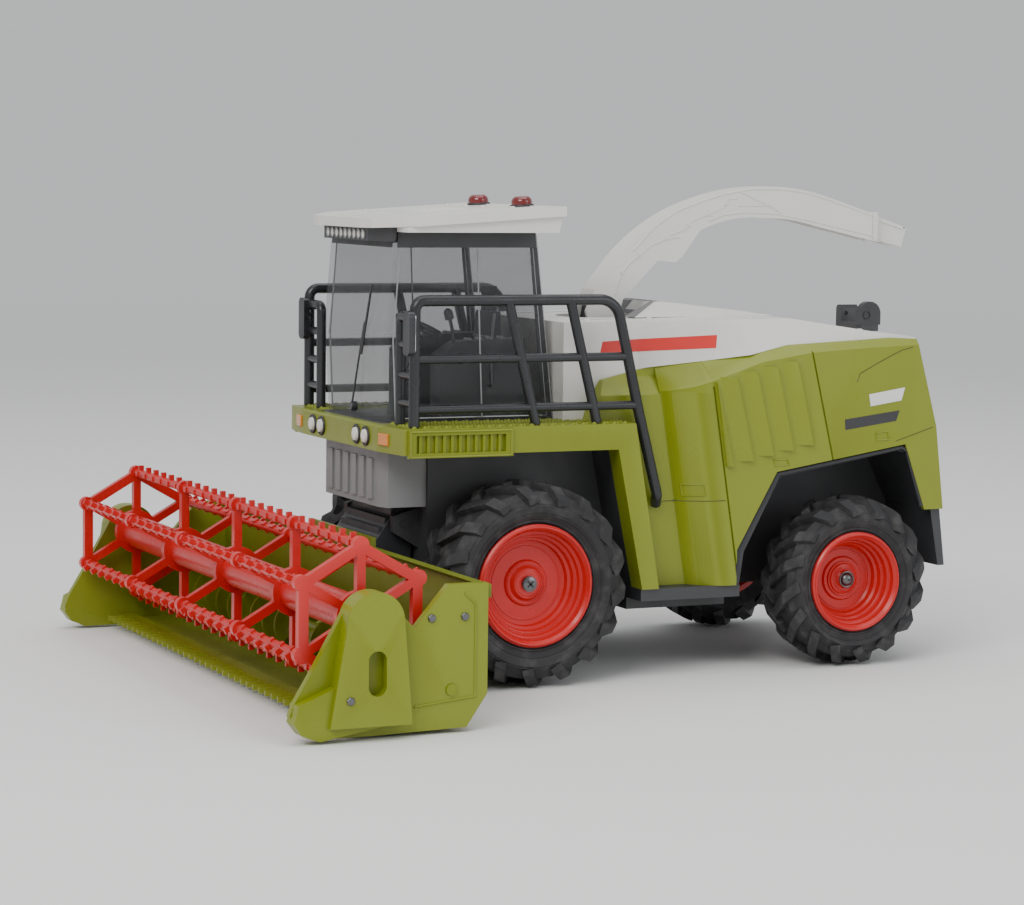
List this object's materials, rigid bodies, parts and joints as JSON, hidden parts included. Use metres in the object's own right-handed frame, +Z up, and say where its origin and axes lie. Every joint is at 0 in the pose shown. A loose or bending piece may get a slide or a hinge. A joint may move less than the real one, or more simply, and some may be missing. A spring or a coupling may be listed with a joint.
{
  "type": "toy combine harvester",
  "caption": "Toy self-propelled harvester with a lime and white body, red rims, a swivelling spout, a railed cab and a grain header with a red reel.",
  "frame": {"origin": "on the ground, under the middle of the machine's overall box", "axes": "+Z up, -Y is the driving direction, +X is the machine's left side"},
  "size_m": [0.2762, 0.3104, 0.182],
  "materials": {
    "lime_plastic": "moulded, satin gloss",
    "white_plastic": "moulded, satin gloss",
    "black_plastic": "moulded, fine grain",
    "grey_plastic": "moulded, fine grain",
    "red_plastic": "moulded, satin gloss",
    "beacon_red": "clear tinted",
    "lamp_lens": "polished",
    "tyre_rubber": "matt",
    "steel": "satin",
    "clear_glazing": "clear moulded",
    "battery_wrap": "plain wrap"
  },
  "bodies": {
    "chassis": {"chassis_pan": "black_plastic", "front_axle": "steel", "rear_axle_beam": "black_plastic", "side_shell_left": "lime_plastic", "side_shell_right": "lime_plastic", "arch_liner_left": "black_plastic", "arch_liner_right": "black_plastic", "engine_hood": "white_plastic", "hood_hatch": "white_plastic", "tail_panel": "lime_plastic", "platform_left": "lime_plastic", "platform_right": "lime_plastic", "front_bumper": "lime_plastic", "headlamps": "lamp_lens", "front_wall": "grey_plastic", "guard_rail_left": "black_plastic", "guard_rail_right": "black_plastic", "cab_floor": "black_plastic", "driver_seat": "black_plastic", "steering_column": "black_plastic", "cab_glazing": "clear_glazing", "cab_roof": "white_plastic", "roof_lamp_band": "black_plastic", "beacons": "beacon_red", "spout_cradle": "black_plastic", "battery_door": "black_plastic", "power_switch": "black_plastic", "battery_pack": "battery_wrap", "tow_hitch": "black_plastic"},
    "front_left_wheel": {"front_left_tyre": "tyre_rubber", "front_left_rim": "red_plastic"},
    "front_right_wheel": {"front_right_tyre": "tyre_rubber", "front_right_rim": "red_plastic"},
    "rear_left_steering": {"rear_left_knuckle": "black_plastic"},
    "rear_right_steering": {"rear_right_knuckle": "black_plastic"},
    "rear_left_wheel": {"rear_left_tyre": "tyre_rubber", "rear_left_rim": "red_plastic"},
    "rear_right_wheel": {"rear_right_tyre": "tyre_rubber", "rear_right_rim": "red_plastic"},
    "track_rod": {"tie_rod": "black_plastic"},
    "spout_turret": {"spout_base": "black_plastic"},
    "spout": {"spout_duct": "white_plastic"},
    "spout_mouth": {"spout_flap": "white_plastic"},
    "header": {"feeder_house": "black_plastic", "header_frame": "lime_plastic", "header_side_left": "lime_plastic", "header_side_right": "lime_plastic", "cutterbar": "lime_plastic"},
    "reel": {"reel": "red_plastic"},
    "auger": {"auger": "lime_plastic"}
  },
  "joints": [
    {"name": "front_left_spin", "type": "hinge", "parent": "chassis", "child": "front_left_wheel", "pos_m": [0.052, -0.03525, 0.0375], "axis": [1, 0, 0], "continuous": true},
    {"name": "front_right_spin", "type": "hinge", "parent": "chassis", "child": "front_right_wheel", "pos_m": [-0.052, -0.03525, 0.0375], "axis": [1, 0, 0], "continuous": true},
    {"name": "rear_left_steer", "type": "hinge", "parent": "chassis", "child": "rear_left_steering", "pos_m": [0.036, 0.10075, 0.0325], "axis": [0, 0, 1], "range_deg": [-15, 15]},
    {"name": "rear_left_spin", "type": "hinge", "parent": "rear_left_steering", "child": "rear_left_wheel", "pos_m": [0.0515, 0.10075, 0.0325], "axis": [1, 0, 0], "continuous": true},
    {"name": "rear_right_steer", "type": "hinge", "parent": "chassis", "child": "rear_right_steering", "pos_m": [-0.036, 0.10075, 0.0325], "axis": [0, 0, 1], "range_deg": [-15, 15]},
    {"name": "rear_right_spin", "type": "hinge", "parent": "rear_right_steering", "child": "rear_right_wheel", "pos_m": [-0.0515, 0.10075, 0.0325], "axis": [1, 0, 0], "continuous": true},
    {"name": "track_rod_slide", "type": "slide", "parent": "chassis", "child": "track_rod", "axis": [1, 0, 0], "range_m": [-0.00265, 0.00265]},
    {"name": "spout_swivel", "type": "hinge", "parent": "chassis", "child": "spout_turret", "pos_m": [0, 0.01875, 0.125], "axis": [0, 0, 1], "range_deg": [-100, 100]},
    {"name": "spout_lift", "type": "hinge", "parent": "spout_turret", "child": "spout", "pos_m": [0, 0.01875, 0.134], "axis": [1, 0, 0], "range_deg": [-10, 35]},
    {"name": "spout_mouth_tilt", "type": "hinge", "parent": "spout", "child": "spout_mouth", "pos_m": [0, 0.13855, 0.16675], "axis": [-1, 0, 0], "range_deg": [0, 60]},
    {"name": "header_lift", "type": "hinge", "parent": "chassis", "child": "header", "pos_m": [0, -0.07125, 0.057], "axis": [-1, 0, 0], "range_deg": [0, 15]},
    {"name": "reel_spin", "type": "hinge", "parent": "header", "child": "reel", "pos_m": [0, -0.12725, 0.0395], "axis": [1, 0, 0], "continuous": true},
    {"name": "auger_spin", "type": "hinge", "parent": "header", "child": "auger", "pos_m": [0, -0.09785, 0.0146], "axis": [1, 0, 0], "continuous": true}
  ],
  "couplings": [
    {"joint": "rear_right_steer", "follows": "rear_left_steer", "ratio": 1},
    {"joint": "track_rod_slide", "follows": "rear_left_steer", "m_per_rad": -0.01}
  ]
}
